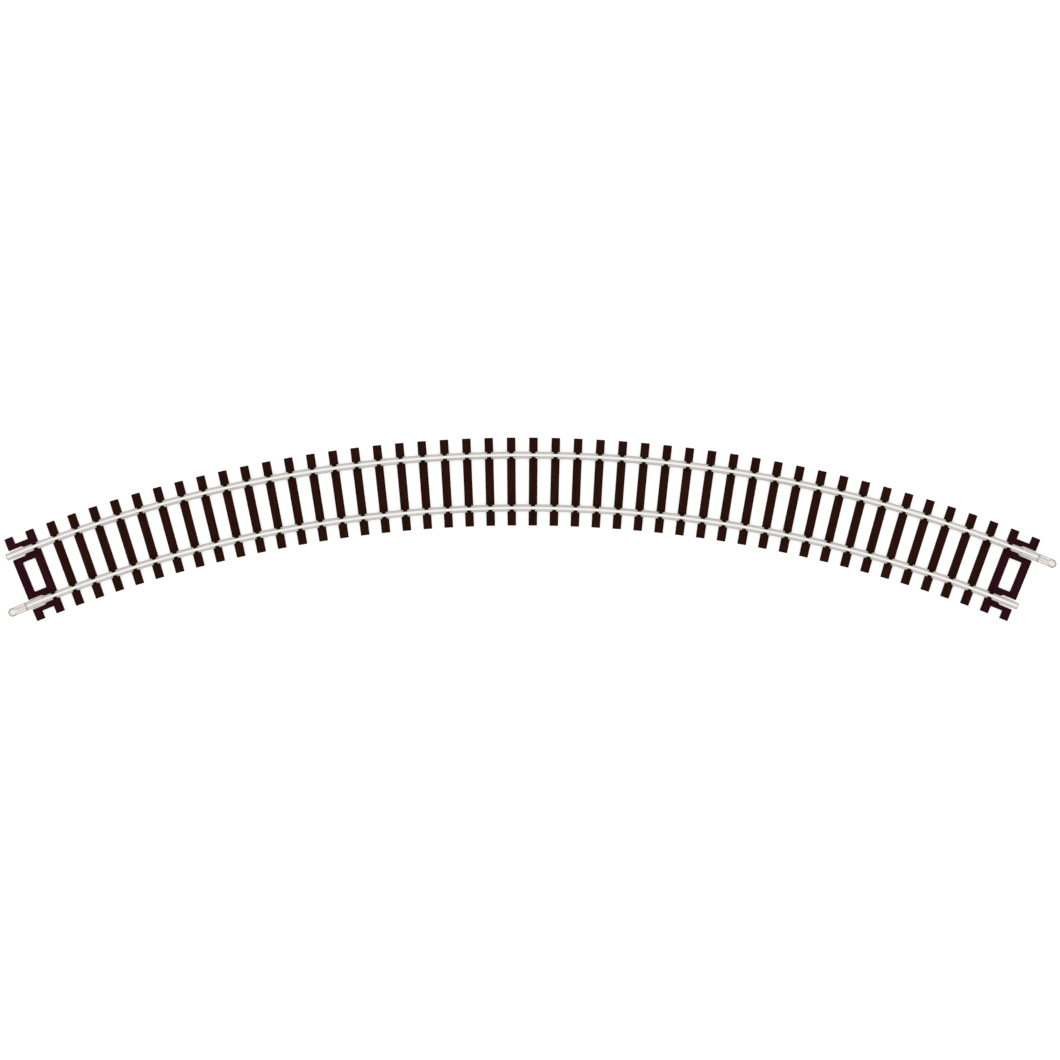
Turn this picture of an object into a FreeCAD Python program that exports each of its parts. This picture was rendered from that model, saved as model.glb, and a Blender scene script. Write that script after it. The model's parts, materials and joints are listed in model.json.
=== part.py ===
"""Curved model track section, second radius, 45 degrees, 16.5 mm gauge, as a FreeCAD macro.

Millimetres, +Z up. The track lies on the plane z = 0 and curves round a vertical line through
(curve_centre_x, curve_centre_y). Every sub-part is drawn about that line, straight above it in the
plan, and its Placement turns it to its own place along the curve, so in each sub-part's own plan
X runs along the track, clockwise, and Y is the distance from the centre of the curve.
Angles along the curve are in degrees, zero in the middle of the section and positive clockwise.
"""
import FreeCAD, Part
import os
import Sketcher

# Driving dimensions: alias, value, what it is. Lengths in millimetres, angles in degrees.
DIMENSIONS = [
    ("curve_radius", 438.0, "radius of the track's centre line"),
    ("curve_angle", 45.0, "angle between the two rail ends"),
    ("curve_centre_x", -2.63, "centre of the curve, seen from the middle of the whole part"),
    ("curve_centre_y", -422.12, "the same, along Y"),
    ("rail_offset", 8.75, "centre line of the track to the centre of a rail"),
    ("sleeper_pitch", 0.94215, "angle from one sleeper to the next"),
    ("plain_sleepers", 44, "sleepers between the two end bases"),
    ("sleeper_length", 29.2, "across the track"),
    ("sleeper_width", 2.85, "along the track"),
    ("sleeper_height", 2.1, "thickness of the sleeper"),
    ("edge_break", 0.12, "chamfer round the top of a moulding"),
    ("seat_height", 2.3, "level of the underside of the rail"),
    ("seat_width", 2.3, "rail seat, along the track"),
    ("seat_reach", 2.2, "rail seat, out from the rail's centre each way"),
    ("clip_height", 0.95, "top of a clip above the rail seat"),
    ("clip_width", 1.6, "root of a clip, along the track"),
    ("clip_tip_width", 0.8, "point of a clip, along the track"),
    ("clip_root", 1.95, "back of a clip, out from the rail's centre"),
    ("clip_shoulder", 1.15, "where a clip starts to narrow"),
    ("clip_tip", 0.62, "point of a clip, out from the rail's centre"),
    ("clip_back_height", 0.3, "back of a clip above the rail seat"),
    ("clip_gap", 0.03, "between a clip and the rail's foot"),
    ("rail_height", 2.54, "code 100: 0.100 inch"),
    ("head_half", 0.5, "half the width of the rail head"),
    ("head_depth", 0.7, "side of the rail head"),
    ("head_round", 0.18, "radius of the running edges"),
    ("head_slope", 0.12, "fall of the head's underside towards the web"),
    ("web_half", 0.33, "half the thickness of the rail's web"),
    ("foot_half", 1.15, "half the width of the rail foot"),
    ("foot_edge", 0.35, "thickness of the foot at its edge"),
    ("foot_slope", 0.36, "rise of the foot towards the web, per millimetre"),
    ("joiner_on_rail", 5.8, "length of a joiner pushed onto the rail"),
    ("joiner_reach", 6.6, "length of a joiner past the end of the rail"),
    ("sheet", 0.2, "thickness of the joiner's metal"),
    ("joiner_gap", 0.07, "joiner to rail foot, at the sides and above"),
    ("joiner_floor_gap", 0.05, "joiner to rail foot, below"),
    ("joiner_fold_round", 0.12, "outer radius of the joiner's folds"),
    ("lip_inner", 0.45, "inner edge of a joiner's lip, out from the rail's centre"),
    ("nose_flat", 0.01, "flat left at the very tip of the joiner's round nose"),
    ("slot_half", 1.7, "half the width of the joiner's slot in an end base"),
    ("slot_throat_half", 1.1, "the same at the closed end of the slot"),
    ("slot_straight", 5.75, "end of the slot's parallel sides, from the rail end"),
    ("slot_length", 6.6, "closed end of the slot, from the rail end"),
    ("web_outer", 3.22, "outer edge of an end base's web, out from the rail's centre"),
    ("web_inner", 3.55, "inner edge of an end base's web, in from the rail's centre"),
    ("window_round", 0.3, "corner radius of the window"),
    ("link_half", 0.75, "half the width of a web link under a rail"),
    ("link_bottom", 0.9, "underside of a web link"),
    ("pin_hole_radius", 0.45, "track pin hole"),
    ("pin_hole_depth", 1.5, "track pin hole, blind, from below"),
    ("overrun", 1.0, "how far a cut runs on past what it cuts"),
]
LEFT, RIGHT = -1, 1
TINY = 1e-4
# How a sketch's constraints number the points of a line or a circle.
START, END, CENTRE = 1, 2, 3

doc = FreeCAD.newDocument("track_section")
dims = doc.addObject("Spreadsheet::Sheet", "dims")
for row, (alias, value, note) in enumerate(DIMENSIONS, start=1):
    dims.set(f"A{row}", alias)
    dims.set(f"B{row}", str(value))
    dims.set(f"C{row}", note)
    dims.setAlias(f"B{row}", alias)
doc.recompute()

PLAIN_SLEEPERS = int(dims.plain_sleepers)
SEAT_Z = "dims.seat_height"
RAIL_RADII = {
    "outer": "(dims.curve_radius + dims.rail_offset)",
    "inner": "(dims.curve_radius - dims.rail_offset)",
}
RAIL_END = "(dims.curve_angle / 2)"
SECOND_BAR = "(dims.plain_sleepers / 2 + 0.5) * dims.sleeper_pitch"
JOINER_HALF = "(dims.foot_half + dims.joiner_gap + dims.sheet)"

sub_parts = []


def turned(angle):
    """A placement expression: about the curve's axis, clockwise by an angle."""
    return f"placement(vector(0; 0; 0); rotation(vector(0; 0; 1); 0 - ({angle})))"


def lifted(level):
    return f"placement(vector(0; 0; {level}); rotation(vector(0; 0; 1); 0))"


def new_sub_part(label, angle="0"):
    """A body that stands at an angle along the curve."""
    body = doc.addObject("PartDesign::Body", label)
    body.Label = label
    centre = "vector(dims.curve_centre_x; dims.curve_centre_y; 0)"
    body.setExpression("Placement", f"placement({centre}; rotation(vector(0; 0; 1); 0 - ({angle})))")
    sub_parts.append(body)
    return body


def origin_feature(body, role):
    return next(feature for feature in body.Origin.OriginFeatures if feature.Role == role)


def new_sketch(body, name, plane="XY_Plane", offset=None):
    sketch = body.newObject("Sketcher::SketchObject", f"{body.Label}_{name}")
    sketch.AttachmentSupport = (origin_feature(body, plane), [""])
    sketch.MapMode = "FlatFace"
    if offset:
        sketch.setExpression("AttachmentOffset", offset)
    return sketch


def add_outline(sketch, points):
    """A closed polygon through points, each a pair of expressions that pins one corner."""
    corners = [FreeCAD.Vector(*map(sketch.evalExpression, point), 0) for point in points]
    first = len(sketch.Geometry)
    for start, end in zip(corners, corners[1:] + corners[:1]):
        sketch.addGeometry(Part.LineSegment(start, end))
    count = len(points)
    for index, point in enumerate(points):
        line = first + index
        following = first + (index + 1) % count
        sketch.addConstraint(Sketcher.Constraint("Coincident", line, END, following, START))
        for kind, value, size in zip(("DistanceX", "DistanceY"), point, corners[index]):
            constraint = sketch.addConstraint(Sketcher.Constraint(kind, line, START, size))
            sketch.setExpression(f"Constraints[{constraint}]", value)


def add_rectangle(sketch, x_low, x_high, y_low, y_high):
    add_outline(sketch, [(x_low, y_low), (x_high, y_low), (x_high, y_high), (x_low, y_high)])


def add_circle(sketch, x_centre, y_centre, radius):
    x, y, size = map(sketch.evalExpression, (x_centre, y_centre, radius))
    circle = sketch.addGeometry(Part.Circle(FreeCAD.Vector(x, y, 0), FreeCAD.Vector(0, 0, 1), size))
    for kind, value, number in (("DistanceX", x_centre, x), ("DistanceY", y_centre, y)):
        constraint = sketch.addConstraint(Sketcher.Constraint(kind, circle, CENTRE, number))
        sketch.setExpression(f"Constraints[{constraint}]", value)
    constraint = sketch.addConstraint(Sketcher.Constraint("Radius", circle, size))
    sketch.setExpression(f"Constraints[{constraint}]", radius)


def add_pad(body, sketch, length, other_way=None):
    """A pad along the sketch's normal and, if asked, the other way too."""
    pad = body.newObject("PartDesign::Pad", f"{sketch.Name}_pad")
    pad.Profile = sketch
    pad.setExpression("Length", length)
    if other_way:
        pad.SideType = "Two sides"
        pad.setExpression("Length2", other_way)
    return pad


def add_pocket(body, sketch, length, along_normal=True, both_ways=False):
    pocket = body.newObject("PartDesign::Pocket", f"{sketch.Name}_cut")
    pocket.Profile = sketch
    if both_ways:
        pocket.SideType = "Symmetric"
    pocket.Reversed = along_normal and not both_ways
    pocket.setExpression("Length", length)
    return pocket


def edges_where(feature, wanted):
    doc.recompute()
    edges = enumerate(feature.Shape.Edges, start=1)
    return [f"Edge{number}" for number, edge in edges if wanted(edge)]


def add_rounding(body, feature, kind, edges, size_property, size):
    """A Fillet or a Chamfer on the named edges of a feature."""
    rounding = body.newObject(f"PartDesign::{kind}", f"{body.Label}_{kind.lower()}")
    rounding.Base = (feature, edges)
    rounding.setExpression(size_property, size)
    return rounding


def lies_at(edge, level):
    return abs(edge.BoundBox.ZMin - level) < TINY and abs(edge.BoundBox.ZMax - level) < TINY


def is_vertical(edge):
    return edge.BoundBox.ZLength > TINY and max(edge.BoundBox.XLength, edge.BoundBox.YLength) < TINY


def across_rail(radius, distance):
    """A distance out from a rail's centre, as an expression along Y."""
    return f"{radius} + ({distance})"


def mirrored_section(radius, half):
    """A section symmetrical about a rail's centre, from the points of its right half, bottom up."""
    right = [(across_rail(radius, y), z) for y, z in half]
    left = [(across_rail(radius, f"0 - ({y})"), z) for y, z in reversed(half)]
    return right + left


def foot_top(distance, gap="0"):
    """Level of the top of the rail's foot at a distance out from the rail's centre."""
    return f"{SEAT_Z} + dims.foot_edge + dims.foot_slope * (dims.foot_half - ({distance})) + {gap}"


# ---------------------------------------------------------------- mouldings

def add_bar(body, name, offset=None):
    """One sleeper: a straight radial bar."""
    sketch = new_sketch(body, name, offset=offset)
    half_width = "dims.sleeper_width / 2"
    half_length = "dims.sleeper_length / 2"
    add_rectangle(sketch, f"0 - {half_width}", half_width,
                  f"dims.curve_radius - {half_length}", f"dims.curve_radius + {half_length}")
    return add_pad(body, sketch, "dims.sleeper_height")


def break_top_edges(body, feature):
    top = edges_where(feature, lambda edge: lies_at(edge, dims.sleeper_height))
    return add_rounding(body, feature, "Chamfer", top, "Size", "dims.edge_break")


def add_seats_and_clips(body):
    """Both rail seats of a sleeper, with a pointed clip each side of each rail's foot."""
    seats = new_sketch(body, "seats")
    half_width = "dims.seat_width / 2"
    for radius in RAIL_RADII.values():
        add_rectangle(seats, f"0 - {half_width}", half_width,
                      across_rail(radius, "0 - dims.seat_reach"), across_rail(radius, "dims.seat_reach"))
    add_pad(body, seats, SEAT_Z)

    clips = new_sketch(body, "clips")
    root_half = "dims.clip_width / 2"
    tip_half = "dims.clip_tip_width / 2"
    plan = [("0 - " + root_half, "dims.clip_root"), ("0 - " + root_half, "dims.clip_shoulder"),
            ("0 - " + tip_half, "dims.clip_tip"), (tip_half, "dims.clip_tip"),
            (root_half, "dims.clip_shoulder"), (root_half, "dims.clip_root")]
    for radius in RAIL_RADII.values():
        for sign in ("", "0 - "):
            add_outline(clips, [(x, across_rail(radius, sign + y)) for x, y in plan])
    add_pad(body, clips, f"{SEAT_Z} + dims.clip_height")

    passages = new_sketch(body, "passages", plane="YZ_Plane")
    clip_top = f"{SEAT_Z} + dims.clip_height"
    back_end = "dims.clip_root + dims.overrun"
    back_level = f"{SEAT_Z} + dims.clip_back_height"
    head_side = "dims.head_half"
    foot_side = "dims.foot_half + dims.clip_gap"
    foot = [(foot_side, SEAT_Z),
            (foot_side, foot_top("dims.foot_half", "dims.clip_gap")),
            (head_side, foot_top(head_side, "dims.clip_gap"))]
    back = [(back_end, back_level), ("dims.clip_root", back_level),
            ("dims.clip_shoulder", clip_top),
            ("dims.clip_shoulder", f"{clip_top} + dims.overrun"),
            (back_end, f"{clip_top} + dims.overrun")]
    for radius in RAIL_RADII.values():
        add_outline(passages, mirrored_section(radius, foot))
        for sign in ("", "0 - "):
            add_outline(passages, [(across_rail(radius, sign + "(" + y + ")"), z) for y, z in back])
    return add_pocket(body, passages, "dims.sleeper_width", both_ways=True)


def add_pin_hole(body):
    """A blind hole for a track pin, from below, in the middle of a sleeper."""
    sketch = new_sketch(body, "pin_hole")
    add_circle(sketch, "0", "dims.curve_radius", "dims.pin_hole_radius")
    return add_pocket(body, sketch, "dims.pin_hole_depth")


def make_sleeper(number, with_pin_hole):
    angle = f"({number} - (dims.plain_sleepers + 1) / 2) * dims.sleeper_pitch"
    body = new_sub_part(f"sleeper_{number:02d}", angle)
    bar = add_bar(body, "bar")
    break_top_edges(body, bar)
    body.Tip = add_seats_and_clips(body)
    if with_pin_hole:
        body.Tip = add_pin_hole(body)


def make_end_base(label, side):
    """The last two sleepers, the webs that join them, and a slot for a joiner at each rail.

    The body stands at the second sleeper from the end, and side is where the end lies from it.
    """
    body = new_sub_part(label, f"{side} * {SECOND_BAR}")
    add_bar(body, "second_bar")
    add_bar(body, "end_bar", turned(f"{side} * dims.sleeper_pitch"))

    webs = new_sketch(body, "webs", offset=turned(f"{side} * dims.sleeper_pitch / 2"))
    half_gap = "dims.curve_radius * sin(dims.sleeper_pitch / 2)"
    outer, inner = RAIL_RADII["outer"], RAIL_RADII["inner"]
    add_rectangle(webs, f"0 - {half_gap}", half_gap,
                  across_rail(outer, "0 - dims.web_inner"), across_rail(outer, "dims.web_outer"))
    add_rectangle(webs, f"0 - {half_gap}", half_gap,
                  across_rail(inner, "0 - dims.web_outer"), across_rail(inner, "dims.web_inner"))
    add_pad(body, webs, "dims.sleeper_height")

    slots = new_sketch(body, "slots", offset=turned(f"{side} * ({RAIL_END} - {SECOND_BAR})"))
    plan = [("dims.overrun", "dims.slot_half"), ("0 - dims.slot_straight", "dims.slot_half"),
            ("0 - dims.slot_length", "dims.slot_throat_half"),
            ("0 - dims.slot_length", "0 - dims.slot_throat_half"),
            ("0 - dims.slot_straight", "0 - dims.slot_half"), ("dims.overrun", "0 - dims.slot_half")]
    for radius in RAIL_RADII.values():
        add_outline(slots, [(f"{side} * ({x})", across_rail(radius, y)) for x, y in plan])
    opened = add_pocket(body, slots, "dims.sleeper_height")

    between_slots = dims.rail_offset - dims.slot_half
    corners = edges_where(opened, lambda edge: is_vertical(edge)
                          and abs(edge.CenterOfMass.y - dims.curve_radius) < between_slots)
    window = add_rounding(body, opened, "Fillet", corners, "Radius", "dims.window_round")
    break_top_edges(body, window)
    add_seats_and_clips(body)
    body.Tip = add_pin_hole(body)


def make_web_links(label, radius):
    """One short bar under a rail in each gap between sleepers, from side face to side face."""
    body = new_sub_part(label)
    first_gap = "dims.plain_sleepers / 2 * dims.sleeper_pitch"
    sketch = new_sketch(body, "first", offset=f"placement(vector(0; 0; dims.link_bottom); "
                                              f"rotation(vector(0; 0; 1); 0 - {first_gap}))")
    side_slope = "tan(dims.sleeper_pitch / 2)"
    sleeper_face = "dims.sleeper_width / 2 / cos(dims.sleeper_pitch / 2)"
    levels = [f"{radius} - dims.link_half", f"{radius} + dims.link_half"]
    near, far = [f"({level}) * {side_slope} - {sleeper_face}" for level in levels]
    add_outline(sketch, [(f"0 - ({near})", levels[0]), (near, levels[0]),
                         (far, levels[1]), (f"0 - ({far})", levels[1])])
    link = add_pad(body, sketch, "dims.sleeper_height - dims.edge_break - dims.link_bottom")
    pattern = body.newObject("PartDesign::PolarPattern", f"{label}_pattern")
    pattern.Originals = [link]
    pattern.Axis = (origin_feature(body, "Z_Axis"), [""])
    pattern.setExpression("Angle", "dims.plain_sleepers * dims.sleeper_pitch")
    pattern.setExpression("Occurrences", "dims.plain_sleepers + 1")
    body.Tip = pattern


# ---------------------------------------------------------------- metal

def make_rail(label, radius):
    """A flat-bottomed rail, its section swept round the curve."""
    body = new_sub_part(label)
    sketch = new_sketch(body, "section", plane="YZ_Plane")
    top = f"{SEAT_Z} + dims.rail_height"
    head_bottom = f"{top} - dims.head_depth"
    half = [("dims.foot_half", SEAT_Z),
            ("dims.foot_half", foot_top("dims.foot_half")),
            ("dims.web_half", foot_top("dims.web_half")),
            ("dims.web_half", f"{head_bottom} - dims.head_slope"),
            ("dims.head_half", head_bottom),
            ("dims.head_half", top)]
    add_outline(sketch, mirrored_section(radius, half))
    bend = body.newObject("PartDesign::Revolution", f"{label}_bend")
    bend.Profile = sketch
    bend.ReferenceAxis = (sketch, ["V_Axis"])
    bend.Midplane = True
    bend.setExpression("Angle", "dims.curve_angle")
    rail_top = dims.seat_height + dims.rail_height
    running_edges = edges_where(bend, lambda edge: lies_at(edge, rail_top)
                                and edge.Length > dims.curve_radius / 2)
    body.Tip = add_rounding(body, bend, "Fillet", running_edges, "Radius", "dims.head_round")


def make_joiner(label, radius, side):
    """A sheet-metal sleeve folded round the rail's foot, with a round nose past the folds."""
    body = new_sub_part(label, f"{side} * {RAIL_END}")
    inside = "(dims.foot_half + dims.joiner_gap)"
    floor = f"{SEAT_Z} - dims.joiner_floor_gap"
    lip_under = foot_top("dims.lip_inner", "dims.joiner_gap")
    fold_under = foot_top(inside, "dims.joiner_gap")
    fold_top = foot_top(JOINER_HALF, "dims.joiner_gap + dims.sheet")
    outside = [(JOINER_HALF, f"{floor} - dims.sheet"), (JOINER_HALF, fold_top),
               ("dims.lip_inner", f"{lip_under} + dims.sheet"), ("dims.lip_inner", lip_under),
               (inside, fold_under), (inside, floor)]
    section = new_sketch(body, "section", plane="YZ_Plane")
    add_outline(section, mirrored_section(radius, outside))
    lengths = ["dims.joiner_reach", "dims.joiner_on_rail"]
    if side == LEFT:
        lengths.reverse()
    channel = add_pad(body, section, *lengths)

    nose_radius = f"({JOINER_HALF} - dims.nose_flat)"
    nose_centre = f"{side} * (dims.joiner_reach - {nose_radius})"
    beyond = f"{side} * (dims.joiner_reach + dims.overrun)"
    ends = [nose_centre, beyond] if side == RIGHT else [beyond, nose_centre]
    lip_end = new_sketch(body, "lip_end", offset=lifted(floor))
    add_rectangle(lip_end, *ends, across_rail(radius, "0 - dims.slot_half"),
                  across_rail(radius, "dims.slot_half"))
    add_pocket(body, lip_end, "dims.rail_height")
    lip_mouth = new_sketch(body, "lip_mouth", offset=lifted(floor))
    add_circle(lip_mouth, nose_centre, radius, nose_radius)
    mouth = add_pocket(body, lip_mouth, "dims.rail_height")

    tip_x = side * dims.joiner_reach
    tip_corners = edges_where(mouth, lambda edge: is_vertical(edge)
                              and abs(edge.CenterOfMass.x - tip_x) < TINY)
    nose = add_rounding(body, mouth, "Fillet", tip_corners, "Radius", nose_radius)
    outer_y = dims.foot_half + dims.joiner_gap + dims.sheet
    rail_y = channel.evalExpression(radius)
    folds = edges_where(nose, lambda edge: edge.BoundBox.XLength > dims.joiner_on_rail
                        and edge.BoundBox.YLength < TINY
                        and abs(abs(edge.CenterOfMass.y - rail_y) - outer_y) < TINY)
    body.Tip = add_rounding(body, nose, "Fillet", folds, "Radius", "dims.joiner_fold_round")


# ---------------------------------------------------------------- the section

make_rail("outer_rail", RAIL_RADII["outer"])
make_rail("inner_rail", RAIL_RADII["inner"])
make_joiner("rail_joiner_left", RAIL_RADII["inner"], LEFT)
make_joiner("rail_joiner_right", RAIL_RADII["outer"], RIGHT)
make_end_base("end_base_left", LEFT)
make_end_base("end_base_right", RIGHT)
make_web_links("outer_web_links", RAIL_RADII["outer"])
make_web_links("inner_web_links", RAIL_RADII["inner"])
for sleeper_number in range(1, PLAIN_SLEEPERS + 1):
    make_sleeper(sleeper_number, with_pin_hole=sleeper_number == PLAIN_SLEEPERS // 2)

doc.recompute()
for thing in doc.Objects:
    if "Invalid" in thing.State or "Error" in thing.State:
        raise RuntimeError(f"{thing.Label} failed: {thing.State}")
    if thing.TypeId == "PartDesign::Pocket":
        if thing.Shape.Volume > thing.BaseFeature.Shape.Volume - TINY:
            raise RuntimeError(f"{thing.Label} cuts nothing")
    if thing.TypeId == "Sketcher::SketchObject" and not thing.FullyConstrained:
        raise RuntimeError(f"{thing.Label} isn't fully constrained")

os.makedirs("parts", exist_ok=True)
for body in sub_parts:
    solid_count = PLAIN_SLEEPERS + 1 if "links" in body.Label else 1
    if body.Shape.isNull() or not body.Shape.isValid() or len(body.Shape.Solids) != solid_count:
        raise RuntimeError(f"{body.Label} isn't {solid_count} valid solid(s)")
for body in sub_parts:
    body.Shape.exportStep(f"parts/{body.Label}.step")

whole = Part.makeCompound([body.Shape for body in sub_parts]).optimalBoundingBox(False, False)
print(f"{len(sub_parts)} sub-parts, {whole.XLength:.2f} x {whole.YLength:.2f} x {whole.ZLength:.2f} mm")
print(f"middle of the box at {whole.Center.x:.3f}, {whole.Center.y:.3f}; lowest point {whole.ZMin:.3f}")
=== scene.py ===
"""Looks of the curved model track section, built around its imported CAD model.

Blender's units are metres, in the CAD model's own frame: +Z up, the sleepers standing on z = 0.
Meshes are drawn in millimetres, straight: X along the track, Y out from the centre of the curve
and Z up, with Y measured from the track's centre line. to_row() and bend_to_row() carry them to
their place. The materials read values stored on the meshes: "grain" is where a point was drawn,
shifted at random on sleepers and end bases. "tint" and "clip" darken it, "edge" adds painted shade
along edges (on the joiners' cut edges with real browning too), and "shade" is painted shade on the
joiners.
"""

import json
import math
import random

import bmesh
import bpy
import numpy as np
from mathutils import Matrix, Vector, noise
from mathutils.kdtree import KDTree


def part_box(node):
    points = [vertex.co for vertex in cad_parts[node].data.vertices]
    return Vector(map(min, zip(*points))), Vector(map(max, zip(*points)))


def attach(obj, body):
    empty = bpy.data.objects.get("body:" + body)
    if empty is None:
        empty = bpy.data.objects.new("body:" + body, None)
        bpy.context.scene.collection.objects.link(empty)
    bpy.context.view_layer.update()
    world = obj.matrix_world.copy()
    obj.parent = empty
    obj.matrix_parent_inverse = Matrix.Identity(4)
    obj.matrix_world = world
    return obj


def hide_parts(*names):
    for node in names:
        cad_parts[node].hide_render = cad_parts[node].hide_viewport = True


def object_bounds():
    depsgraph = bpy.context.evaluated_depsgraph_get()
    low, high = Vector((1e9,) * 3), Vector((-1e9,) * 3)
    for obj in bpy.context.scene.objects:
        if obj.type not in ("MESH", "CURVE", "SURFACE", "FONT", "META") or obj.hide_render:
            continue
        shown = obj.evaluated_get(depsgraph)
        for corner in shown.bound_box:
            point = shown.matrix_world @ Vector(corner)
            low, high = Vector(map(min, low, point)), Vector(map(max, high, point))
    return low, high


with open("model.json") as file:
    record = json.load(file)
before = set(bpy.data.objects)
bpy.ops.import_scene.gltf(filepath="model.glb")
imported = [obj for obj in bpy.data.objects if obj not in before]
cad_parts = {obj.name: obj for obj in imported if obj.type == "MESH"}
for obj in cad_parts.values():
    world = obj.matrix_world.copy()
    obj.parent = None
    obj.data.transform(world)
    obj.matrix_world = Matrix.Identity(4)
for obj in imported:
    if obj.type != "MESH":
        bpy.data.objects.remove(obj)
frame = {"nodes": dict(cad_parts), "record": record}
CAD_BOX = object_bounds()

MM = 0.001

# The rail's section: half widths from its centre, heights above its underside and the radii of its
# corners, in millimetres.
RAIL_HEIGHT = 2.54
HEAD_HALF = 0.5
HEAD_DEPTH = 0.7
HEAD_SLOPE = 0.12
HEAD_ROUND = 0.18
HEAD_UNDER_ROUND = 0.06
WEB_HALF = 0.33
WEB_TOP_ROUND = 0.1
WEB_FOOT_ROUND = 0.22
FOOT_HALF = 1.15
FOOT_EDGE = 0.35
FOOT_SLOPE = 0.36
FOOT_EDGE_ROUND = 0.12
FOOT_UNDER_ROUND = 0.06
RAIL_STEPS = 140
RAIL_END_BREAK = 0.05
# How far the darker metal reaches in from the foot's edges, and from the rail's ends.
FOOT_DARKENING = 0.35
END_DARKENING = 0.4

# The joiner, folded from sheet. Its lengths run from the end of the rail.
SHEET = 0.2
SHEET_EDGE_ROUND = 0.03
SHEET_EDGE_ANGLE = math.radians(60)
SHEET_EDGE_FADE = 0.13
JOINER_ON_RAIL = 5.8
JOINER_REACH = 6.6
JOINER_SIDE_GAP = 0.07
JOINER_FLOOR_GAP = 0.05
FOLD_RADIUS = 0.14
LIP_INNER = 0.45
# The free lips are pressed down by this much at their inner edges, and a slit parts them from the rest.
LIP_DIP = 0.12
SLIT_START = 0.15
SLIT_END = 0.37
# The nose is round, with a rim this wide that turns down and a shallow dimple in its middle. The rim
# comes in over NOSE_EASE on each side of the nose's centre.
NOSE_RADIUS = FOOT_HALF + JOINER_SIDE_GAP + SHEET
NOSE_RIM = 0.62
NOSE_DROP = 0.28
NOSE_CURL = 1.3
NOSE_EASE = 0.3
DIMPLE_DEPTH = 0.04
DIMPLE_RADIUS = 0.3
# Painted shade on the sheet: a ring in the nose, the folds, the lips before the slit, and a painted
# shadow across the floor by the rail's end.
RING_START = 0.75
RING_FADE = 0.25
FOLD_SHADE = 0.8
FOLD_SHADE_FROM = 0.95
FOLD_SHADE_FADE = 0.25
LIP_SHADE = 0.3
LIP_SHADE_LENGTH = 1.2
END_SHADE = 0.6
END_SHADE_AT = 0.45
END_SHADE_FADE = 0.45

# Steps across the right half of the joiner's sheet: floor, lower fold, side, upper fold and lip.
FLOOR_STEPS, FOLD_STEPS, SIDE_STEPS, SHOULDER_STEPS, LIP_STEPS = 12, 5, 4, 6, 8
SIDE_FROM = FLOOR_STEPS + FOLD_STEPS
SIDE_TO = SIDE_FROM + SIDE_STEPS
SLIT_FROM = SIDE_TO + SHOULDER_STEPS // 2
# Steps along it, up to the slit and after it, and the rows of points that they make.
ROWS_TO_SLIT = 25
ROWS_AFTER_SLIT = 40
JOINER_ROWS = ROWS_TO_SLIT + ROWS_AFTER_SLIT + 2

# The mouldings.
SLEEPER_LENGTH = 29.2
SLEEPER_WIDTH = 2.85
SLEEPER_TOP = 2.1
SEAT_REACH = 2.2
SEAT_FADE = 0.5
CLIP_FRONT = 1.35
CLIP_FADE = 0.2
CLIP_RISE = 0.1
EDGE_ROUND = 0.05
EDGE_FADE = 0.22
EDGE_SAMPLE = 0.1
# The grain is cut inwards, all over the bars' tops and less deeply into their sides. It stops short
# of the ground. The flat faces are divided into a grid of columns and rows to take it.
GRAIN_DEPTH = 0.045
GRAIN_ON_SIDES = 0.3
GRAIN_BOTTOM = 0.3
GRAIN_TOP = SLEEPER_TOP + 0.02
GRAIN_COLUMN = 0.15
GRAIN_ROW = 0.6
GRID_MARGIN = 0.5
GRAIN_SHIFT = 200
END_BASE_SEED = 100
# The grain's noises change this fast across and along a bar, and CHECK_FROM leaves few deep checks.
WARP_SCALE = (0.5, 0.09)
FIBRE_SCALE = (2.4, 0.14)
FIBRE_SEED = 7
CHECK_SCALE = (1.1, 0.07)
CHECK_SEED = 19
CHECK_FROM = 0.25

# Edges that bend more are sharp; faces that differ by less are one face; points this near are one.
SHARP = math.radians(25)
FLAT = math.radians(1)
SAME_POINT = 1e-3

# ---------------------------------------------------------------- where things are

mounts = {mount["name"]: mount for mount in frame["record"]["mounts"]}


def rail_line(left_mount, right_mount):
    """Centre of the curve, and a rail's radius and half angle, from the mounts at its two ends."""
    left = Vector(mounts[left_mount]["pos_m"])
    right = Vector(mounts[right_mount]["pos_m"])
    along = mounts[right_mount]["axis"]
    half_angle = math.atan2(-along[1], along[0])
    radius = (right.x - left.x) / (2 * math.sin(half_angle))
    centre = right.xy - radius * Vector((math.sin(half_angle), math.cos(half_angle)))
    return centre, radius, half_angle


CENTRE, INNER_RADIUS, HALF_ANGLE = rail_line("left_joiner_socket", "right_plain_rail_end")
OUTER_RADIUS = rail_line("left_plain_rail_end", "right_joiner_socket")[1]
TRACK_RADIUS = (INNER_RADIUS + OUTER_RADIUS) / 2
RAIL_OFFSET = (OUTER_RADIUS - INNER_RADIUS) / 2 / MM
RAIL_HALF = HALF_ANGLE * TRACK_RADIUS / MM
SEAT = mounts["left_joiner_socket"]["pos_m"][2] / MM
SLEEPERS = sorted(name for name in frame["nodes"] if name.startswith("sleeper_"))


def angle_of(node):
    """Angle along the curve, clockwise from its middle, of the middle of a node's box."""
    low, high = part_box(node)
    middle = (low + high) / 2
    return math.atan2(middle.x - CENTRE.x, middle.y - CENTRE.y)


def to_row(points, angle):
    """Points in millimetres, drawn straight, turned to an angle along the curve, in metres."""
    x, y, z = (np.asarray(points, float) * MM).T
    radius = TRACK_RADIUS + y
    cos, sin = math.cos(angle), math.sin(angle)
    return np.column_stack((CENTRE.x + x * cos + radius * sin, CENTRE.y - x * sin + radius * cos, z))


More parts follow.
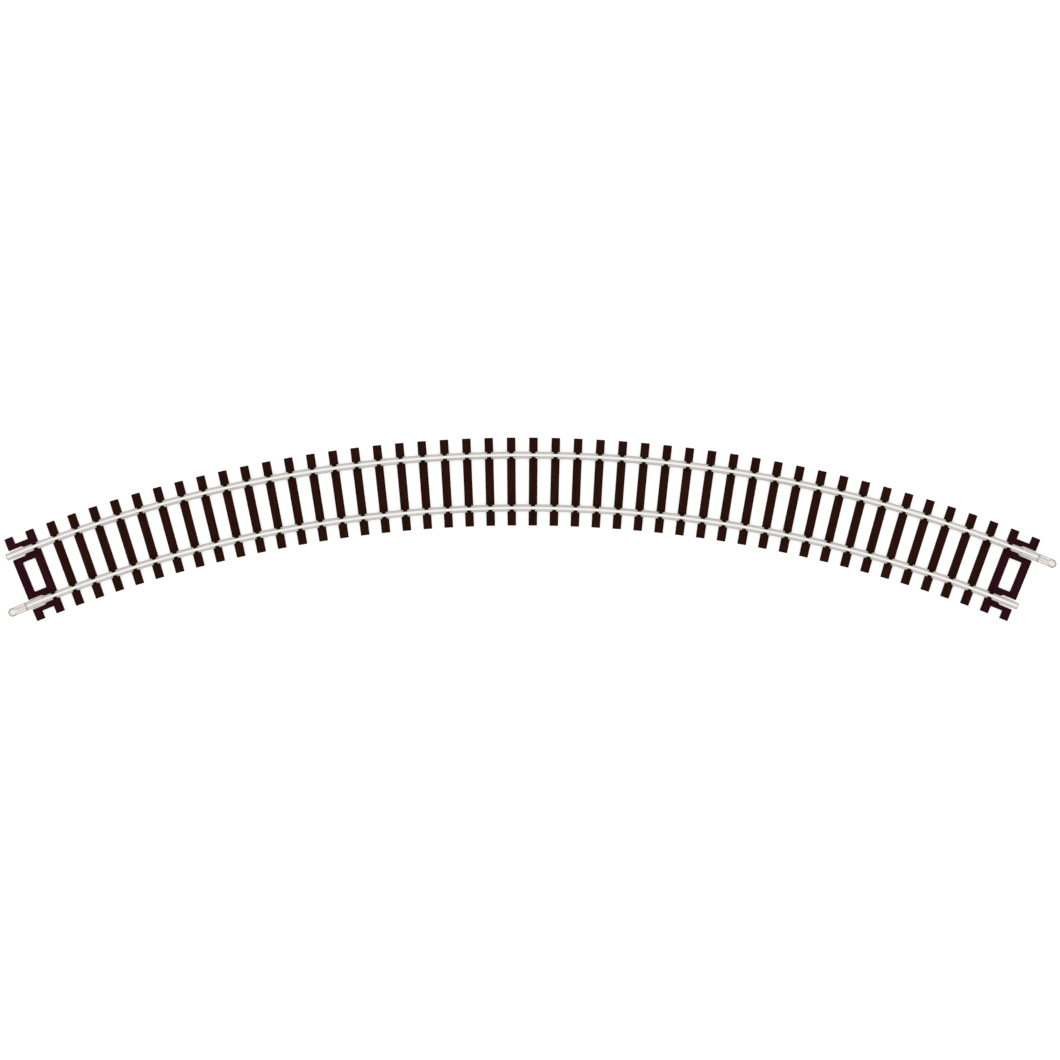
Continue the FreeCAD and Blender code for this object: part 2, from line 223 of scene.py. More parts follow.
def from_row(points, angle):
    """The reverse of to_row()."""
    x, y, z = (np.asarray(points, float) - (CENTRE.x, CENTRE.y, 0)).T
    cos, sin = math.cos(angle), math.sin(angle)
    return np.column_stack((x * cos - y * sin, x * sin + y * cos - TRACK_RADIUS, z)) / MM


def bend_to_row(points):
    """Points in millimetres whose X is measured along the track's centre line, bent round the curve."""
    x, y, z = (np.asarray(points, float) * MM).T
    angle = x / TRACK_RADIUS
    radius = TRACK_RADIUS + y
    return np.column_stack((CENTRE.x + radius * np.sin(angle), CENTRE.y + radius * np.cos(angle), z))


def unbend(points):
    """The reverse of bend_to_row()."""
    x, y, z = (np.asarray(points, float) - (CENTRE.x, CENTRE.y, 0)).T
    along = np.arctan2(x, y) * TRACK_RADIUS
    return np.column_stack((along, np.hypot(x, y) - TRACK_RADIUS, z)) / MM


def points_of(mesh):
    """A mesh's points, one in each row."""
    flat = np.zeros(len(mesh.vertices) * 3)
    mesh.vertices.foreach_get("co", flat)
    return flat.reshape(-1, 3)


# ---------------------------------------------------------------- making pieces

def add_values(mesh, name, values):
    """Stores a number or a vector at each vertex, for the materials to read."""
    values = np.asarray(values, np.float32)
    if values.ndim == 1:
        mesh.attributes.new(name, "FLOAT", "POINT").data.foreach_set("value", values)
    else:
        mesh.attributes.new(name, "FLOAT_VECTOR", "POINT").data.foreach_set("vector", values.ravel())


def add_piece(node, mesh, material, body):
    """Shows a mesh instead of a CAD node, riding on that node's body."""
    mesh.shade_smooth()
    mesh.set_sharp_from_angle(angle=SHARP)
    mesh.materials.clear()
    mesh.materials.append(material)
    piece = bpy.data.objects.new(f"{node}_detailed", mesh)
    bpy.context.scene.collection.objects.link(piece)
    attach(piece, body)
    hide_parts(node)


def rounded_outline(corners, steps=4):
    """A closed outline through corners, each (point, radius), with every corner an arc."""
    outline = []
    for index, (corner, radius) in enumerate(corners):
        before = (corners[index - 1][0] - corner).normalized()
        after = (corners[(index + 1) % len(corners)][0] - corner).normalized()
        half = before.angle(after) / 2
        middle = corner + (before + after).normalized() * radius / math.sin(half)
        start = corner + before * radius / math.tan(half) - middle
        end = corner + after * radius / math.tan(half) - middle
        sweep = start.angle_signed(end)
        for step in range(steps + 1):
            outline.append(middle + turned(start, sweep * step / steps))
    return outline


def turned(vector, angle):
    """A 2D vector turned clockwise, the way angle_signed() counts."""
    cos, sin = math.cos(angle), math.sin(angle)
    return Vector((vector.x * cos + vector.y * sin, vector.y * cos - vector.x * sin))


def edge_fade(edge_points, points, fade):
    """1 at the points sampled along edges, falling away from them over a distance of about fade."""
    tree = KDTree(len(edge_points))
    for index, point in enumerate(edge_points):
        tree.insert(point, index)
    tree.balance()
    return np.exp(-np.array([tree.find(point)[2] for point in points]) / fade)


# ---------------------------------------------------------------- rails

def rail_outline():
    """The rail's section: (out from its centre, height above its underside)."""
    web_foot = FOOT_EDGE + FOOT_SLOPE * (FOOT_HALF - WEB_HALF)
    head_bottom = RAIL_HEIGHT - HEAD_DEPTH
    right = [((FOOT_HALF, 0), FOOT_UNDER_ROUND), ((FOOT_HALF, FOOT_EDGE), FOOT_EDGE_ROUND),
             ((WEB_HALF, web_foot), WEB_FOOT_ROUND),
             ((WEB_HALF, head_bottom - HEAD_SLOPE), WEB_TOP_ROUND),
             ((HEAD_HALF, head_bottom), HEAD_UNDER_ROUND), ((HEAD_HALF, RAIL_HEIGHT), HEAD_ROUND)]
    left = [((-y, z), radius) for (y, z), radius in reversed(right)]
    return rounded_outline([(Vector(point), radius) for point, radius in right + left])


def make_rail(node, radius, material):
    """One rail: its section drawn along the curve, with the edges of its ends broken."""
    outline = rail_outline()
    middle = Vector((0, RAIL_HEIGHT / 2))
    stations = [(-RAIL_HALF, True), (-RAIL_HALF + RAIL_END_BREAK, False)]
    stations += [(RAIL_HALF * (2 * step / RAIL_STEPS - 1), False) for step in range(1, RAIL_STEPS)]
    stations += [(RAIL_HALF - RAIL_END_BREAK, False), (RAIL_HALF, True)]
    offset = (radius - TRACK_RADIUS) / MM
    straight = []
    for along, is_end in stations:
        for point in outline:
            if is_end:
                point = point + (middle - point).normalized() * RAIL_END_BREAK
            straight.append((along, offset + point.x, SEAT + point.y))
    count = len(outline)
    faces = [tuple(reversed(range(count))), tuple(range(len(straight) - count, len(straight)))]
    for ring in range(len(stations) - 1):
        for index in range(count):
            following = (index + 1) % count
            faces.append((ring * count + index, ring * count + following,
                          (ring + 1) * count + following, (ring + 1) * count + index))
    mesh = bpy.data.meshes.new(node)
    mesh.from_pydata(bend_to_row(straight), [], faces)
    mesh.validate()
    add_values(mesh, "grain", np.array(straight) - (0, offset, SEAT))
    add_piece(node, mesh, material, "track")


# ---------------------------------------------------------------- joiners

def joiner_columns():
    """The sheet's middle surface across the joiner: for each column (across, height, furthest along).

    The floor ends in a round nose, and the lips stop at the same circle, so that they open like a
    keyhole. Heights are above the rail's underside and lengths run from the end of the rail.
    """
    half = FOOT_HALF + JOINER_SIDE_GAP + SHEET / 2
    floor = -JOINER_FLOOR_GAP - SHEET / 2
    lift = FOOT_EDGE + JOINER_SIDE_GAP + SHEET / 2
    lip_end = Vector((LIP_INNER, lift + FOOT_SLOPE * (FOOT_HALF - LIP_INNER)))
    shoulder = Vector((half, lift + FOOT_SLOPE * (FOOT_HALF - half)))
    nose_centre = JOINER_REACH - NOSE_RADIUS

    right = [Vector((0, floor))]
    for step in range(1, FLOOR_STEPS + 1):
        across = (half - FOLD_RADIUS) * math.sin(step / FLOOR_STEPS * math.pi / 2)
        right.append(Vector((across, floor)))
    for step in range(1, FOLD_STEPS + 1):
        angle = step / FOLD_STEPS * math.pi / 2
        right.append(Vector((half - FOLD_RADIUS * (1 - math.sin(angle)),
                             floor + FOLD_RADIUS * (1 - math.cos(angle)))))
    turn = math.pi / 2 - math.atan(FOOT_SLOPE)
    side_low = right[-1]
    side_high = Vector((half, shoulder.y - FOLD_RADIUS * math.tan(turn / 2)))
    for step in range(1, SIDE_STEPS + 1):
        right.append(side_low.lerp(side_high, step / SIDE_STEPS))
    for step in range(1, SHOULDER_STEPS + 1):
        angle = turn * step / SHOULDER_STEPS
        right.append(side_high + FOLD_RADIUS * Vector((math.cos(angle) - 1, math.sin(angle))))
    lip_start = right[-1]
    for step in range(1, LIP_STEPS + 1):
        right.append(lip_start.lerp(lip_end, step / LIP_STEPS))

    columns = []
    for index, point in enumerate(right):
        reach = math.sqrt(max(NOSE_RADIUS ** 2 - point.x ** 2, 0))
        if index > SIDE_TO:
            reach = -reach
        elif index > SIDE_FROM:
            reach *= 1 - 2 * (index - SIDE_FROM) / SIDE_STEPS
        columns.append((point.x, point.y, nose_centre + reach))
    return [(-across, height, end) for across, height, end in reversed(columns[1:])] + columns


def joiner_rows(end):
    """Lengths of the points of a column that ends there: even up to the slit, closer by the nose."""
    rows = [-JOINER_ON_RAIL + (SLIT_START + JOINER_ON_RAIL) * row / ROWS_TO_SLIT
            for row in range(ROWS_TO_SLIT + 1)]
    return rows + [SLIT_END + (end - SLIT_END) * math.sin(row / ROWS_AFTER_SLIT * math.pi / 2)
                   for row in range(ROWS_AFTER_SLIT + 1)]


def nose_rim(along, across):
    """0 inside the rim of the joiner's nose, rising to 1 at its edge."""
    beyond = along - (JOINER_REACH - NOSE_RADIUS)
    from_centre = math.hypot(max(beyond, 0), across)
    ahead = min(max((beyond + NOSE_EASE) / (2 * NOSE_EASE), 0), 1)
    return ahead * max(0, 1 - (NOSE_RADIUS - from_centre) / NOSE_RIM)


def joiner_painted_shade(along, across, on_floor):
    """How much shade is painted on the sheet: 0 where there is none, 1 where it is darkest.

    The painted shade lies on the folds, in a ring near the nose's edge and on the lips up to the slit,
    with a painted shadow across the floor by the rail's end.
    """
    fold = FOLD_SHADE * min(max((abs(across) - FOLD_SHADE_FROM) / FOLD_SHADE_FADE, 0), 1)
    if not on_floor:
        before_slit = SLIT_START - along
        by_slit = LIP_SHADE * (1 - before_slit / LIP_SHADE_LENGTH) if before_slit >= 0 else 0
        return max(fold, by_slit)
    beyond = along - (JOINER_REACH - NOSE_RADIUS)
    ring = min(max((math.hypot(beyond, across) - RING_START) / RING_FADE, 0), 1)
    if beyond < 0:
        ring *= min(max(abs(across) / RING_START * 2 - 1, 0), 1)
        ring *= min(max((beyond + NOSE_RADIUS) / RING_FADE, 0), 1)
    by_rail_end = END_SHADE * (1 - abs(along - END_SHADE_AT) / END_SHADE_FADE)
    return max(fold, ring, by_rail_end)


def joiner_drop(along, across, on_floor):
    """How far the sheet is pressed down: on the nose's rim and dimple, and on the lips past the slit."""
    if not on_floor:
        dip = min(max((FOOT_HALF - abs(across)) / (FOOT_HALF - LIP_INNER), 0), 1)
        return LIP_DIP * dip if along > (SLIT_START + SLIT_END) / 2 else 0
    from_dimple = math.hypot(along - (JOINER_REACH - NOSE_RADIUS), across)
    dimple = max(0, 1 - from_dimple ** 2 / DIMPLE_RADIUS ** 2)
    return NOSE_DROP * nose_rim(along, across) ** NOSE_CURL + DIMPLE_DEPTH * dimple ** 2


def joiner_faces(columns, side):
    """The faces between the points of so many columns, with the slit across the lips left open."""
    middle = columns // 2
    faces = []
    for column in range(columns - 1):
        in_lip = min(abs(column - middle), abs(column + 1 - middle)) >= SLIT_FROM
        for row in range(JOINER_ROWS - 1):
            if in_lip and row == ROWS_TO_SLIT:
                continue
            first = column * JOINER_ROWS + row
            face = (first, first + 1, first + JOINER_ROWS + 1, first + JOINER_ROWS)
            faces.append(face if side < 0 else face[::-1])
    return faces


def cut_edges(points, columns):
    """Those of the sheet's points that lie on its cut edges: its outline and both sides of the slit."""
    middle = columns // 2
    edges = []
    for index, point in enumerate(points):
        column, row = divmod(index, JOINER_ROWS)
        by_slit = row in (ROWS_TO_SLIT, ROWS_TO_SLIT + 1) and abs(column - middle) >= SLIT_FROM
        if by_slit or column in (0, columns - 1) or row in (0, JOINER_ROWS - 1):
            edges.append(point)
    return edges


def thickened(mesh):
    """A sheet's middle surface made SHEET thick, with its edges rounded."""
    sheet = bpy.data.objects.new(mesh.name, mesh)
    bpy.context.scene.collection.objects.link(sheet)
    thick = sheet.modifiers.new("thickness", "SOLIDIFY")
    thick.thickness = SHEET * MM
    thick.offset = 0
    thick.use_even_offset = True
    rounding = sheet.modifiers.new("edges", "BEVEL")
    rounding.width = SHEET_EDGE_ROUND * MM
    rounding.segments = 2
    rounding.limit_method = "ANGLE"
    rounding.angle_limit = SHEET_EDGE_ANGLE
    bpy.context.view_layer.update()
    solid = bpy.data.meshes.new_from_object(sheet.evaluated_get(bpy.context.evaluated_depsgraph_get()))
    bpy.data.objects.remove(sheet)
    return solid


def make_joiner(node, radius, side, body, material):
    """The joiner at the left end (side -1) or right end (side 1) of the rail with that radius."""
    columns = joiner_columns()
    straight = []
    painted_shades = []
    for across, height, end in columns:
        for along in joiner_rows(end):
            drop = joiner_drop(along, across, height < 0)
            straight.append((side * along, across, SEAT + height - drop))
            # How much shade is painted on the sheet here.
            painted_shades.append(joiner_painted_shade(along, across, height < 0))
    offset = (radius - TRACK_RADIUS) / MM
    points = [(x, y + offset, z) for x, y, z in straight]
    edges = cut_edges(straight, len(columns))
    mesh = bpy.data.meshes.new(node + "_sheet")
    mesh.from_pydata(to_row(points, side * HALF_ANGLE), [], joiner_faces(len(columns), side))
    add_values(mesh, "grain", straight)
    # Browning along the cut edges, partly painted shade.
    add_values(mesh, "edge", edge_fade(edges, straight, SHEET_EDGE_FADE))
    # The painted shade, for the material to darken the sheet with.
    add_values(mesh, "shade", painted_shades)
    add_piece(node, thickened(mesh), material, body)


# ---------------------------------------------------------------- mouldings

def sample_sharp_edges(shape):
    """Points EDGE_SAMPLE apart along the sharp edges of a bmesh."""
    samples = []
    for edge in shape.edges:
        if len(edge.link_faces) == 2 and edge.calc_face_angle() > SHARP:
            start, end = (vertex.co for vertex in edge.verts)
            steps = max(1, round(edge.calc_length() / EDGE_SAMPLE))
            samples += [start.lerp(end, step / steps) for step in range(steps + 1)]
    return samples


def cut_grid(shape, axis, low, high, spacing):
    """Cuts a bmesh across with parallel planes, so that its flat faces can take the grain."""
    normal = Vector((axis == 0, axis == 1, axis == 2))
    for step in range(1, round((high - low) / spacing)):
        everything = shape.verts[:] + shape.edges[:] + shape.faces[:]
        at = normal * (low + step * spacing)
        bmesh.ops.bisect_plane(shape, geom=everything, dist=SAME_POINT, plane_co=at, plane_no=normal)


def moulding_from(node, straighten):
    """A node's shape drawn straight, with rounded edges, and points along its sharp edges."""
    source = frame["nodes"][node].data
    shape = bmesh.new()
    shape.from_mesh(source)
    for vertex, point in zip(shape.verts, straighten(points_of(source))):
        vertex.co = point
    bmesh.ops.remove_doubles(shape, verts=shape.verts, dist=SAME_POINT)
    bmesh.ops.dissolve_limit(shape, angle_limit=FLAT, verts=shape.verts, edges=shape.edges)
    sharp_points = sample_sharp_edges(shape)
    sharp = [edge for edge in shape.edges
             if len(edge.link_faces) == 2 and edge.calc_face_angle() > SHARP
             and max(vertex.co.z for vertex in edge.verts) > EDGE_ROUND]
    bmesh.ops.bevel(shape, geom=sharp, offset=EDGE_ROUND, segments=2, profile=0.5,
                    affect="EDGES", clamp_overlap=True)
    return shape, sharp_points


def noise_place(point, scale, seed, shift=0.0):
    """Where in a noise a point of a moulding lies: stretched along the bar, and apart by seed."""
    return Vector((point[0] * scale[0] + shift, point[1] * scale[1], seed))


def grain_cut(point, seed):
    """How deep the grain is at a point of a moulding: long fibres along Y, with a few deeper ones."""
    warp = noise.noise(noise_place(point, WARP_SCALE, seed))
    fibre = noise.fractal(noise_place(point, FIBRE_SCALE, seed + FIBRE_SEED, warp * 2), 0.8, 2.1, 3)
    check = noise.noise(noise_place(point, CHECK_SCALE, seed + CHECK_SEED, warp))
    return GRAIN_DEPTH * (0.5 * max(fibre, 0) + max(check - CHECK_FROM, 0) * 1.6)


def painted_edge_shade(sharp_points, points):
    """Painted shade: 1 on a moulding's own edges, fading away. Seats' and clips' edges don't count."""
    outer = [point for point in sharp_points if not near_seat(point)]
    return edge_fade(outer, points, EDGE_FADE)


def clip_tint(points):
    """1 on the front of the clips, where they reach over the rail's foot."""
    reach = np.abs(np.abs(points[:, 1]) - RAIL_OFFSET)
    above = np.clip((points[:, 2] - SEAT) / CLIP_RISE, 0, 1)
    return above * np.clip((CLIP_FRONT - reach) / CLIP_FADE, 0, 1)


def near_seat(point):
    """1 on the rail seats and clips, falling to 0 just outside them."""
    distance = abs(abs(point[1]) - RAIL_OFFSET) - SEAT_REACH
    return min(max(1 - distance / SEAT_FADE, 0), 1)


def cut_grain(points, normals, seed):
    """Points of a moulding moved inwards by its grain, on the top and sides of its bars."""
    moved = np.array(points)
    for index, (point, normal) in enumerate(zip(points, normals)):
        if not GRAIN_BOTTOM <= point[2] <= GRAIN_TOP:
            continue
        share = GRAIN_ON_SIDES + (1 - GRAIN_ON_SIDES) * abs(normal[2])
        depth = grain_cut(point, seed) * (1 - near_seat(point)) * share
        moved[index] -= np.asarray(normal) * depth
    return moved


def show_moulding(node, mesh, points, grain, tint, edge, clip, material):
    """Moves a moulding's points to their place and shows it, with the values its material reads."""
    mesh.vertices.foreach_set("co", points.ravel())
    mesh.update()
    add_values(mesh, "grain", grain)
    add_values(mesh, "tint", np.full(len(grain), tint))
    add_values(mesh, "edge", edge)
    add_values(mesh, "clip", clip)
    add_piece(node, mesh, material, "track")


def make_grained(node, mesh, straight, edge, angle, seed, material, slot):
    """A moulding's own copy of a mesh, with its own grain, at an angle along the curve."""
    normals = [vertex.normal.copy() for vertex in mesh.vertices]
    points = to_row(cut_grain(straight, normals, seed), angle)
    source = random.Random(seed)
    shift = (source.uniform(0, GRAIN_SHIFT), source.uniform(0, GRAIN_SHIFT), 0)
    show_moulding(node, mesh.copy(), points, straight + shift, source.uniform(-1, 1), edge,
                  clip_tint(straight), material)


def straight_mesh(shape, name):
    """A bmesh as a mesh, and its points."""
    mesh = bpy.data.meshes.new(name)
    shape.to_mesh(mesh)
    shape.free()
    return mesh, points_of(mesh)


def gridded(node, angle, half_along, half_across):
    """A node drawn straight and cut into the grain's grid: its mesh, points and their painted edge
    shade.
    """
    shape, sharp_points = moulding_from(node, lambda points: from_row(points, angle))
    cut_grid(shape, 0, -half_along, half_along, GRAIN_COLUMN)
    cut_grid(shape, 1, -half_across, half_across, GRAIN_ROW)
    mesh, straight = straight_mesh(shape, node)
    return mesh, straight, painted_edge_shade(sharp_points, straight)


def make_sleepers(material):
    """Every plain sleeper, from the shape of two: one with a pin hole underneath, one without."""
    holed = len(SLEEPERS) // 2
    shapes = {}
    for pattern in (holed, holed + 1):
        node = SLEEPERS[pattern - 1]
        shapes[pattern] = gridded(node, angle_of(node), SLEEPER_WIDTH / 2, SLEEPER_LENGTH / 2)
    for number, node in enumerate(SLEEPERS, start=1):
        shape = shapes[holed if number == holed else holed + 1]
        make_grained(node, *shape, angle_of(node), number, material, "sleeper_plastic")


def make_end_base(node, side, material):
    """The base at the left end (side -1) or right end (side 1), drawn from midway between its bars."""
    last = angle_of(SLEEPERS[-1] if side > 0 else SLEEPERS[0])
    pitch = angle_of(SLEEPERS[1]) - angle_of(SLEEPERS[0])
    angle = last + side * 1.5 * pitch
    half_along = (SLEEPER_WIDTH + pitch * TRACK_RADIUS / MM) / 2 + GRID_MARGIN
    shape = gridded(node, angle, half_along, SLEEPER_LENGTH / 2 + GRID_MARGIN)
    make_grained(node, *shape, angle, END_BASE_SEED + side, material, "end_base_plastic")


def make_links(node, material):
    """The web links under a rail. They are too small to show a grain, so none is cut into them."""
    shape, sharp_points = moulding_from(node, unbend)
    mesh, straight = straight_mesh(shape, node)
    # Painted shade along the links' edges.
    edge = edge_fade(sharp_points, straight, EDGE_FADE)
    show_moulding(node, mesh, bend_to_row(straight), straight, 0, edge, np.zeros(len(straight)),
                  material)


# ---------------------------------------------------------------- materials

class Shader:
    """A node material in the making, with a Principled surface."""

    def __init__(self, name, **constants):
        self.material = bpy.data.materials.new(name)
        self.material.use_nodes = True
        self.nodes = self.material.node_tree.nodes
        self.links = self.material.node_tree.links
        self.surface = self.nodes["Principled BSDF"]
        for socket, value in constants.items():
            self.surface.inputs[socket.replace("_", " ")].default_value = value

    def feed(self, socket, value):
        """Links a node's output to a socket, or sets the socket to a constant."""
        if isinstance(value, bpy.types.NodeSocket):
            self.links.new(value, socket)
        else:
            socket.default_value = value

    def node(self, kind, inputs, output=0, **settings):
        """Adds a node with its inputs and settings, and returns one of its outputs."""
        made = self.nodes.new("ShaderNode" + kind)
        for name, value in settings.items():
            setattr(made, name, value)
        for socket, value in inputs.items():
            self.feed(made.inputs[socket], value)
        return made.outputs[output]

    def values(self, name, output="Fac"):
        """What add_values() stored under a name."""
        return self.node("Attribute", {}, output, attribute_name=name)

    def math(self, operation, first, second):
        return self.node("Math", {0: first, 1: second}, operation=operation)

    def stretched(self, vector, scale):
        return self.node("VectorMath", {0: vector, 1: scale}, operation="MULTIPLY")

    def clouds(self, vector, scale, detail, roughness=0.55, distortion=0.0):
        """Noise on a vector stretched by scale, one number per axis."""
        return self.node("TexNoise", {"Vector": self.stretched(vector, scale), "Scale": 1.0,
                                      "Detail": detail, "Roughness": roughness,
                                      "Distortion": distortion})

    def remap(self, value, from_low, from_high, to_low, to_high):
        """A value carried from one range to another, and kept inside it."""
        return self.node("MapRange", {0: value, 1: from_low, 2: from_high, 3: to_low, 4: to_high})

    def blend(self, share, first, second):
        """The first colour where share is 0, the second where it is 1."""
        return self.node("Mix", {0: share, 6: first, 7: second}, 2, data_type="RGBA")

    def along_axis(self, vector, axis):
        """One of a vector's three numbers."""
        return self.node("SeparateXYZ", {0: vector}, axis)

    def bump(self, height, depth_mm, strength):
        return self.node("Bump", {"Height": height, "Distance": depth_mm * MM, "Strength": strength})

    def finish(self, **inputs):
        for socket, value in inputs.items():
            self.feed(self.surface.inputs[socket.replace("_", " ")], value)
        return self.material


def colour(red, green, blue):
    return (red, green, blue, 1)


def plastic(name, sheen, dark, middle, light):
    """Dark moulded plastic with a fine wood grain, painted shade along its edges and darker clips."""
    made = Shader(name, Specular_IOR_Level=0.05, Specular_Tint=sheen)
    grain = made.values("grain", "Vector")
    fibres = made.clouds(grain, (3.2, 0.16, 1.5), 4.0, 0.6, 0.4)
    bands = made.clouds(grain, (0.9, 0.07, 0.5), 2.0)
    speckle = made.clouds(grain, (9, 5, 9), 2.0)
    base = made.blend(made.remap(fibres, 0.32, 0.68, 0, 1), middle, light)
    base = made.blend(made.remap(bands, 0.35, 0.7, 0, 0.4), base, dark)
    base = made.blend(made.remap(speckle, 0.55, 0.8, 0, 0.3), base, light)
    base = made.blend(made.remap(made.values("tint"), -1, 1, 0.2, 0.28), base, dark)
    # Painted shade along the edges.
    base = made.blend(made.remap(made.values("edge"), 0.2, 0.9, 0, 0.9), base, dark)
    base = made.blend(made.remap(made.values("clip"), 0, 1, 0, 0.9), base, dark)
    roughness = made.remap(fibres, 0.3, 0.7, 0.62, 0.46)
    relief = made.math("ADD", made.math("MULTIPLY", fibres, 0.8), made.math("MULTIPLY", speckle, 0.25))
    return made.finish(Base_Color=base, Roughness=roughness, Normal=made.bump(relief, 0.05, 0.5))


def drawn_rail(name):
    """Drawn bright metal, polished on top of the head, duller below it, darker at its foot and ends."""
    made = Shader(name, Metallic=1.0)
    grain = made.values("grain", "Vector")
    along = made.math("ABSOLUTE", made.along_axis(grain, 0), 0)
    across = made.math("ABSOLUTE", made.along_axis(grain, 1), 0)
    height = made.along_axis(grain, 2)
    lines = made.clouds(grain, (0.02, 14, 14), 3.0, 0.6)
    hairlines = made.clouds(grain, (0.05, 40, 40), 2.0)
    patches = made.clouds(grain, (0.06, 0.6, 0.6), 3.0)
    dull = made.blend(made.remap(patches, 0.3, 0.7, 0, 1), colour(0.41, 0.395, 0.375),
                      colour(0.48, 0.465, 0.445))
    bright = made.blend(made.remap(lines, 0.3, 0.7, 0, 1), colour(0.445, 0.427, 0.408),
                        colour(0.51, 0.495, 0.475))
    on_head = made.remap(height, RAIL_HEIGHT - HEAD_DEPTH, RAIL_HEIGHT - HEAD_ROUND * 0.6, 0, 1)
    base = made.blend(on_head, dull, bright)
    base = made.blend(made.remap(hairlines, 0.6, 0.8, 0, 0.25), base, colour(0.3, 0.285, 0.27))
    at_foot = made.remap(across, FOOT_HALF - FOOT_DARKENING, FOOT_HALF, 0, 0.5)
    at_end = made.remap(along, RAIL_HALF - END_DARKENING, RAIL_HALF - END_DARKENING / 2, 0, 1)
    base = made.blend(made.math("MAXIMUM", at_foot, at_end), base, colour(0.26, 0.245, 0.23))
    worn = made.remap(lines, 0.25, 0.75, 0.36, 0.5)
    polished = made.remap(lines, 0.25, 0.75, 0.16, 0.28)
    roughness = made.node("Mix", {0: on_head, 2: worn, 3: polished}, 0, data_type="FLOAT")
    relief = made.math("ADD", lines, made.math("MULTIPLY", hairlines, 0.4))
    return made.finish(Base_Color=base, Roughness=roughness, Normal=made.bump(relief, 0.012, 0.6))


def folded_sheet(name):
    """Satin sheet metal with rolling marks, browned along its cut edges.

    The brown on the cut edges is partly painted shade. Shade is also painted on the folds, in a ring in
    the nose and on the lips before the slit, with a painted shadow across the floor by the rail's end.
    """
    made = Shader(name, Metallic=1.0)
    grain = made.values("grain", "Vector")
    rolled = made.clouds(grain, (0.15, 9, 9), 3.0, 0.6)
    patches = made.clouds(grain, (0.7, 0.9, 0.9), 3.0)
    base = made.blend(made.remap(patches, 0.3, 0.7, 0, 1), colour(0.48, 0.445, 0.418),
                      colour(0.54, 0.505, 0.48))
    base = made.blend(made.remap(rolled, 0.35, 0.75, 0, 0.4), base, colour(0.36, 0.33, 0.31))
    # Painted shade on the folds, the nose's ring and the lips, and a painted shadow by the rail's end.
    base = made.blend(made.remap(made.values("shade"), 0, 1, 0, 0.62), base, colour(0.27, 0.247, 0.232))
    # Browned cut edges, the brown partly painted shade.
    base = made.blend(made.remap(made.values("edge"), 0.15, 1, 0, 0.65), base, colour(0.2, 0.155, 0.13))
    roughness = made.remap(rolled, 0.3, 0.7, 0.28, 0.42)
    return made.finish(Base_Color=base, Roughness=roughness, Normal=made.bump(rolled, 0.015, 0.5))


def pale_floor(name):
    """Nearly white board with a faint mottle, lit a little from within so that it stays even."""
    made = Shader(name, Specular_IOR_Level=0.1, Emission_Color=colour(1, 1, 1), Emission_Strength=0.6)
    place = made.node("NewGeometry", {}, "Position")
    mottle = made.clouds(place, (6, 6, 6), 4.0)
    base = made.blend(mottle, colour(0.52, 0.52, 0.52), colour(0.56, 0.56, 0.56))
    return made.finish(Base_Color=base, Roughness=made.remap(mottle, 0, 1, 0.75, 0.85))


# ---------------------------------------------------------------- the section

rail_metal = drawn_rail("drawn_rail_metal")
joiner_metal = folded_sheet("folded_joiner_metal")
sleeper_plastic = plastic("sleeper_plastic_grain", colour(1, 0.4, 0.3), colour(0.003, 0.0006, 0.0003),
                          colour(0.0131, 0.0027, 0.0014), colour(0.0255, 0.0061, 0.0031))
end_base_plastic = plastic("end_base_plastic_grain", colour(1, 0.3, 0.45), colour(0.003, 0.0004, 0.0008),
                           colour(0.0165, 0.0022, 0.0040), colour(0.031, 0.0050, 0.0082))

make_rail("outer_rail", OUTER_RADIUS, rail_metal)
make_rail("inner_rail", INNER_RADIUS, rail_metal)
make_joiner("rail_joiner_left", INNER_RADIUS, -1, "joiner_left", joiner_metal)
make_joiner("rail_joiner_right", OUTER_RADIUS, 1, "joiner_right", joiner_metal)
make_sleepers(sleeper_plastic)
make_end_base("end_base_left", -1, end_base_plastic)
make_end_base("end_base_right", 1, end_base_plastic)
make_links("outer_web_links", sleeper_plastic)
make_links("inner_web_links", sleeper_plastic)

# ---------------------------------------------------------------- studio

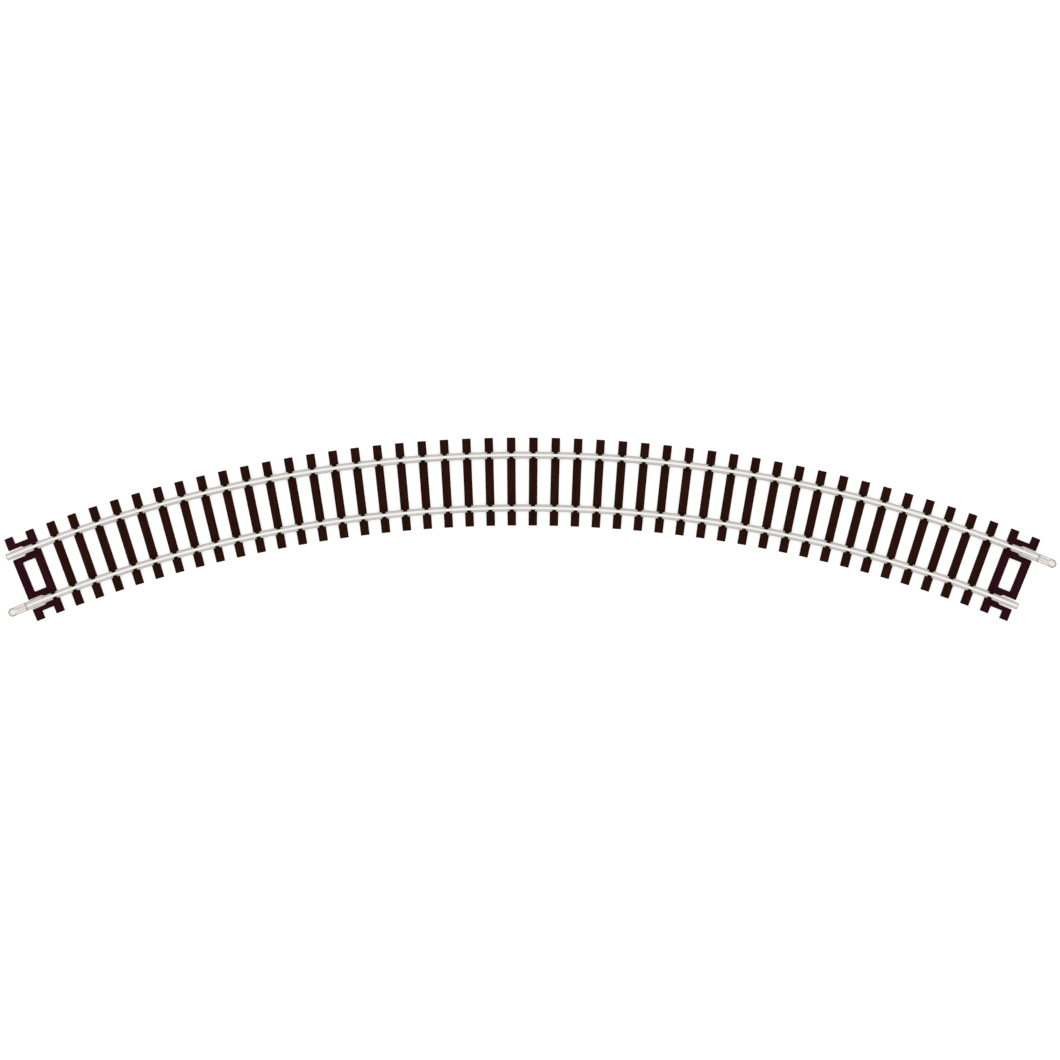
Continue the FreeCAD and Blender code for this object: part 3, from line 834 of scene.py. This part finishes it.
# Lengths here are in metres.
FLOOR_HALF = 3.0
FLOOR_DROP = 0.00002
SOFTBOX_SIZE = 1.5
SOFTBOX_HEIGHT = 1.3
SOFTBOX_POWER = 4.6
SKY = 1.28
CAMERA_HEIGHT = 1.73
CAMERA_WIDTH = 0.35153
CAMERA_OFFSET = (-0.00008, -0.0002)
CAMERA_NEAR = 0.01
CAMERA_FAR = 10


def make_floor():
    """The board that the sleepers stand on."""
    corners = [(-FLOOR_HALF, -FLOOR_HALF), (FLOOR_HALF, -FLOOR_HALF),
               (FLOOR_HALF, FLOOR_HALF), (-FLOOR_HALF, FLOOR_HALF)]
    mesh = bpy.data.meshes.new("floor")
    mesh.from_pydata([(x, y, -FLOOR_DROP) for x, y in corners], [], [(0, 1, 2, 3)])
    mesh.materials.append(pale_floor("pale_floor"))
    floor = bpy.data.objects.new("floor", mesh)
    bpy.context.scene.collection.objects.link(floor)


def make_light():
    """One square softbox overhead, under an even white sky."""
    softbox = bpy.data.lights.new("softbox", "AREA")
    softbox.shape = "SQUARE"
    softbox.size = SOFTBOX_SIZE
    softbox.energy = SOFTBOX_POWER
    lamp = bpy.data.objects.new("softbox", softbox)
    lamp.location = (0, 0, SOFTBOX_HEIGHT)
    bpy.context.scene.collection.objects.link(lamp)
    world = bpy.data.worlds.new("studio")
    world.use_nodes = True
    world.node_tree.nodes["Background"].inputs["Color"].default_value = colour(1, 1, 1)
    world.node_tree.nodes["Background"].inputs["Strength"].default_value = SKY
    bpy.context.scene.world = world


def make_camera():
    """Straight down, from far off. The picture is CAMERA_WIDTH wide at the tops of the sleepers."""
    low, high = CAD_BOX
    middle = (low + high) / 2
    camera = bpy.data.objects.new("camera", bpy.data.cameras.new("camera"))
    distance = CAMERA_HEIGHT - SLEEPER_TOP * MM
    camera.data.lens = camera.data.sensor_width * distance / CAMERA_WIDTH
    camera.data.clip_start = CAMERA_NEAR
    camera.data.clip_end = CAMERA_FAR
    camera.location = (middle.x + CAMERA_OFFSET[0], middle.y + CAMERA_OFFSET[1], CAMERA_HEIGHT)
    bpy.context.scene.collection.objects.link(camera)
    bpy.context.scene.camera = camera


make_floor()
make_light()
make_camera()
bpy.context.scene.view_settings.view_transform = "Standard"
